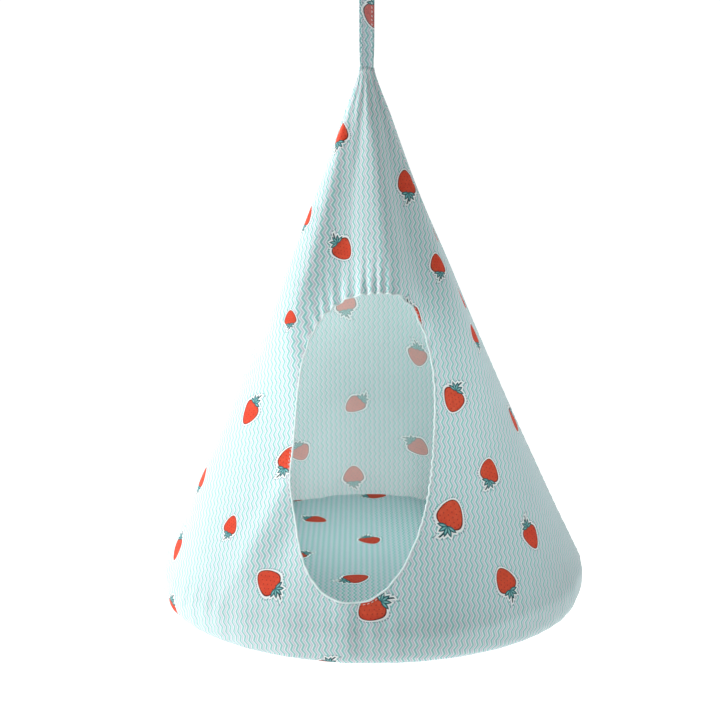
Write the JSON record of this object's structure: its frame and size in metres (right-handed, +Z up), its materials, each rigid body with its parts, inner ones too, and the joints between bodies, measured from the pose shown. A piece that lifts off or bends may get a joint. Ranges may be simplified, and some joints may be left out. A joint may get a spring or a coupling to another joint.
{
  "type": "hanging fabric pod",
  "caption": "Hanging cone-shaped fabric pod with an oval doorway, a thick round floor pad, and a sewn strap on a swivel snap hook.",
  "frame": {"origin": "inside of the snap hook's bow, where a ceiling hook or screw eye bears on it", "axes": "+Z up along the hanging line, the doorway faces -Y, +X to the right of someone facing the doorway"},
  "size_m": [0.394, 0.3944, 0.6625],
  "materials": {
    "printed_cotton": "matte",
    "cotton_tape": "matte",
    "cotton_webbing": "matte",
    "foam": "matte",
    "polypropylene": "matte",
    "zinc_alloy": "satin",
    "steel": "satin"
  },
  "bodies": {
    "hook": {"snap_hook_body": "zinc_alloy", "gate_rivet": "steel"},
    "gate": {"gate": "zinc_alloy", "gate_spring": "steel"},
    "swivel": {"swivel_eye": "zinc_alloy", "swivel_washer": "steel"},
    "pod": {"strap_webbing": "cotton_webbing", "strap_cover": "printed_cotton", "front_panel": "printed_cotton", "back_panel": "printed_cotton", "door_binding": "cotton_tape", "side_tape_left": "cotton_tape", "side_tape_right": "cotton_tape", "base_panel": "printed_cotton", "rim_binding": "cotton_tape", "base_board": "polypropylene", "pad_cover_top": "printed_cotton", "pad_cover_bottom": "printed_cotton", "pad_foam": "foam"}
  },
  "joints": [
    {"name": "gate_open", "type": "hinge", "parent": "hook", "child": "gate", "pos_m": [0.012, 0, -0.038], "axis": [0, -1, 0], "range_deg": [0, 28], "stiffness_Nm_per_rad": 0.15, "springref_deg": -17.19},
    {"name": "swivel_spin", "type": "hinge", "parent": "hook", "child": "swivel", "pos_m": [0, 0, -0.0455], "axis": [0, 0, 1], "continuous": true},
    {"name": "pod_swing", "type": "hinge", "parent": "swivel", "child": "pod", "pos_m": [0, 0, -0.082], "axis": [1, 0, 0], "range_deg": [-35, 35]}
  ]
}
